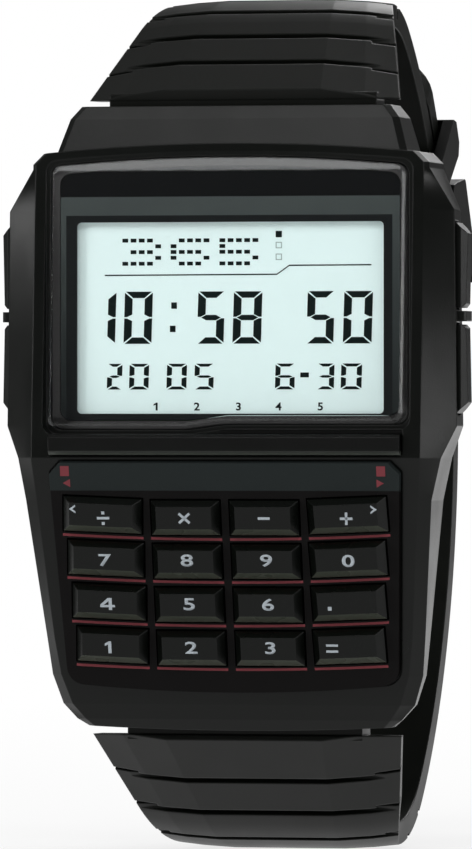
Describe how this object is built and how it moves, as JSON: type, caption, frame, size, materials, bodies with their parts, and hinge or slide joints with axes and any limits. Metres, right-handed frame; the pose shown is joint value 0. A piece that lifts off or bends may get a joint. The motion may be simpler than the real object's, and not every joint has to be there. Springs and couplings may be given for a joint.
{
  "type": "calculator wristwatch",
  "caption": "Digital wristwatch with a calculator keypad in a black resin case, bar pushers at its sides, and a ridged resin strap closed by a tang buckle and keeper.",
  "frame": {"origin": "centre of the back plate's outer face, against the wrist", "axes": "+Y out of the back plate towards the wrist, so the dial faces -Y; +Z towards 12 o'clock; +X towards 3 o'clock"},
  "size_m": [0.0376, 0.0493, 0.0684],
  "materials": {
    "case_resin": "fine matt moulded resin",
    "crystal_glass": "clear polished mineral window",
    "gasket_rubber": "smooth",
    "mask_print": "printed film behind the window",
    "lcd_glass": "grey-green liquid-crystal cell",
    "light_panel": "thin luminous film",
    "connector_rubber": "striped elastomer",
    "frame_plastic": "moulded",
    "board_laminate": "resist-coated laminate",
    "chip_epoxy": "potting",
    "quartz_can": "drawn can",
    "housing_plastic": "moulded",
    "battery_steel": "drawn cell can",
    "clip_steel": "stamped spring strip",
    "buzzer_brass": "thin disc",
    "leaf_steel": "stamped spring leaf",
    "plate_steel": "satin brushed stainless",
    "screw_steel": "turned",
    "divider_plastic": "semi-gloss moulded strip",
    "panel_plastic": "matt moulded plate",
    "key_plastic": "semi-gloss moulded keys",
    "membrane_rubber": "moulded sheet",
    "contact_sheet": "printed film",
    "pusher_resin": "matt moulded resin on a steel stem clip",
    "seal_rubber": "rings",
    "contact_steel": "stamped leaves",
    "bar_steel": "turned stainless",
    "strap_resin": "fine matt flexible resin",
    "keeper_resin": "matt flexible resin",
    "buckle_resin": "satin black",
    "prong_steel": "satin"
  },
  "bodies": {
    "case": {"case": "case_resin", "crystal": "crystal_glass", "crystal_gasket": "gasket_rubber", "display_mask": "mask_print", "lcd_cell": "lcd_glass", "backlight_panel": "light_panel", "lcd_connectors": "connector_rubber", "display_frame": "frame_plastic", "circuit_board": "board_laminate", "processor_chip": "chip_epoxy", "quartz_oscillator": "quartz_can", "module_housing": "housing_plastic", "battery": "battery_steel", "battery_clip": "clip_steel", "piezo_buzzer": "buzzer_brass", "buzzer_contact": "leaf_steel", "back_gasket": "gasket_rubber", "case_back": "plate_steel", "case_back_screws": "screw_steel", "divider_bar": "divider_plastic", "keypad_panel": "panel_plastic", "key_membrane": "membrane_rubber", "key_contacts": "contact_sheet", "pusher_seals": "seal_rubber", "pusher_contacts": "contact_steel", "spring_bar_12": "bar_steel", "spring_bar_6": "bar_steel"},
    "key_divide": {"key_divide": "key_plastic"},
    "key_times": {"key_times": "key_plastic"},
    "key_minus": {"key_minus": "key_plastic"},
    "key_plus": {"key_plus": "key_plastic"},
    "key_7": {"key_7": "key_plastic"},
    "key_8": {"key_8": "key_plastic"},
    "key_9": {"key_9": "key_plastic"},
    "key_0": {"key_0": "key_plastic"},
    "key_4": {"key_4": "key_plastic"},
    "key_5": {"key_5": "key_plastic"},
    "key_6": {"key_6": "key_plastic"},
    "key_point": {"key_point": "key_plastic"},
    "key_1": {"key_1": "key_plastic"},
    "key_2": {"key_2": "key_plastic"},
    "key_3": {"key_3": "key_plastic"},
    "key_equals": {"key_equals": "key_plastic"},
    "pusher_left_upper": {"pusher_left_upper": "pusher_resin"},
    "pusher_left_lower": {"pusher_left_lower": "pusher_resin"},
    "pusher_right_upper": {"pusher_right_upper": "pusher_resin"},
    "pusher_right_lower": {"pusher_right_lower": "pusher_resin"},
    "strap_12": {"strap_12": "strap_resin", "buckle_spring_bar": "bar_steel"},
    "strap_6": {"strap_6": "strap_resin"},
    "keeper": {"keeper": "keeper_resin"},
    "buckle_frame": {"buckle_frame": "buckle_resin"},
    "buckle_prong": {"buckle_prong": "prong_steel"}
  },
  "joints": [
    {"name": "key_divide_press", "type": "slide", "parent": "case", "child": "key_divide", "axis": [0, 0.9799, 0.1994], "range_m": [0, 0.0004], "stiffness_N_per_m": 200},
    {"name": "key_times_press", "type": "slide", "parent": "case", "child": "key_times", "axis": [0, 0.9799, 0.1994], "range_m": [0, 0.0004], "stiffness_N_per_m": 200},
    {"name": "key_minus_press", "type": "slide", "parent": "case", "child": "key_minus", "axis": [0, 0.9799, 0.1994], "range_m": [0, 0.0004], "stiffness_N_per_m": 200},
    {"name": "key_plus_press", "type": "slide", "parent": "case", "child": "key_plus", "axis": [0, 0.9799, 0.1994], "range_m": [0, 0.0004], "stiffness_N_per_m": 200},
    {"name": "key_7_press", "type": "slide", "parent": "case", "child": "key_7", "axis": [0, 0.9799, 0.1994], "range_m": [0, 0.0004], "stiffness_N_per_m": 200},
    {"name": "key_8_press", "type": "slide", "parent": "case", "child": "key_8", "axis": [0, 0.9799, 0.1994], "range_m": [0, 0.0004], "stiffness_N_per_m": 200},
    {"name": "key_9_press", "type": "slide", "parent": "case", "child": "key_9", "axis": [0, 0.9799, 0.1994], "range_m": [0, 0.0004], "stiffness_N_per_m": 200},
    {"name": "key_0_press", "type": "slide", "parent": "case", "child": "key_0", "axis": [0, 0.9799, 0.1994], "range_m": [0, 0.0004], "stiffness_N_per_m": 200},
    {"name": "key_4_press", "type": "slide", "parent": "case", "child": "key_4", "axis": [0, 0.9799, 0.1994], "range_m": [0, 0.0004], "stiffness_N_per_m": 200},
    {"name": "key_5_press", "type": "slide", "parent": "case", "child": "key_5", "axis": [0, 0.9799, 0.1994], "range_m": [0, 0.0004], "stiffness_N_per_m": 200},
    {"name": "key_6_press", "type": "slide", "parent": "case", "child": "key_6", "axis": [0, 0.9799, 0.1994], "range_m": [0, 0.0004], "stiffness_N_per_m": 200},
    {"name": "key_point_press", "type": "slide", "parent": "case", "child": "key_point", "axis": [0, 0.9799, 0.1994], "range_m": [0, 0.0004], "stiffness_N_per_m": 200},
    {"name": "key_1_press", "type": "slide", "parent": "case", "child": "key_1", "axis": [0, 0.9799, 0.1994], "range_m": [0, 0.0004], "stiffness_N_per_m": 200},
    {"name": "key_2_press", "type": "slide", "parent": "case", "child": "key_2", "axis": [0, 0.9799, 0.1994], "range_m": [0, 0.0004], "stiffness_N_per_m": 200},
    {"name": "key_3_press", "type": "slide", "parent": "case", "child": "key_3", "axis": [0, 0.9799, 0.1994], "range_m": [0, 0.0004], "stiffness_N_per_m": 200},
    {"name": "key_equals_press", "type": "slide", "parent": "case", "child": "key_equals", "axis": [0, 0.9799, 0.1994], "range_m": [0, 0.0004], "stiffness_N_per_m": 200},
    {"name": "pusher_left_upper_press", "type": "slide", "parent": "case", "child": "pusher_left_upper", "axis": [1, 0, 0], "range_m": [0, 0.0005], "stiffness_N_per_m": 400},
    {"name": "pusher_left_lower_press", "type": "slide", "parent": "case", "child": "pusher_left_lower", "axis": [1, 0, 0], "range_m": [0, 0.0005], "stiffness_N_per_m": 400},
    {"name": "pusher_right_upper_press", "type": "slide", "parent": "case", "child": "pusher_right_upper", "axis": [-1, 0, 0], "range_m": [0, 0.0005], "stiffness_N_per_m": 400},
    {"name": "pusher_right_lower_press", "type": "slide", "parent": "case", "child": "pusher_right_lower", "axis": [-1, 0, 0], "range_m": [0, 0.0005], "stiffness_N_per_m": 400},
    {"name": "strap_12_swing", "type": "hinge", "parent": "case", "child": "strap_12", "pos_m": [0, -0.003, 0.0215], "axis": [1, 0, 0], "range_deg": [0, 6]},
    {"name": "strap_6_swing", "type": "hinge", "parent": "case", "child": "strap_6", "pos_m": [0, -0.0023, -0.0215], "axis": [1, 0, 0], "range_deg": [-6, 0]},
    {"name": "keeper_slide", "type": "slide", "parent": "strap_12", "child": "keeper", "axis": [0, -0.575, 0.8181], "range_m": [-0.0003, 0.0025]},
    {"name": "buckle_frame_hinge", "type": "hinge", "parent": "strap_12", "child": "buckle_frame", "pos_m": [0, 0.02924, 0.01826], "axis": [1, 0, 0], "range_deg": [0, 32]},
    {"name": "buckle_prong_hinge", "type": "hinge", "parent": "strap_12", "child": "buckle_prong", "pos_m": [0, 0.02924, 0.01826], "axis": [1, 0, 0], "range_deg": [-60, 0]}
  ],
  "couplings": [
    {"joint": "strap_6_swing", "follows": "strap_12_swing", "ratio": -1}
  ]
}
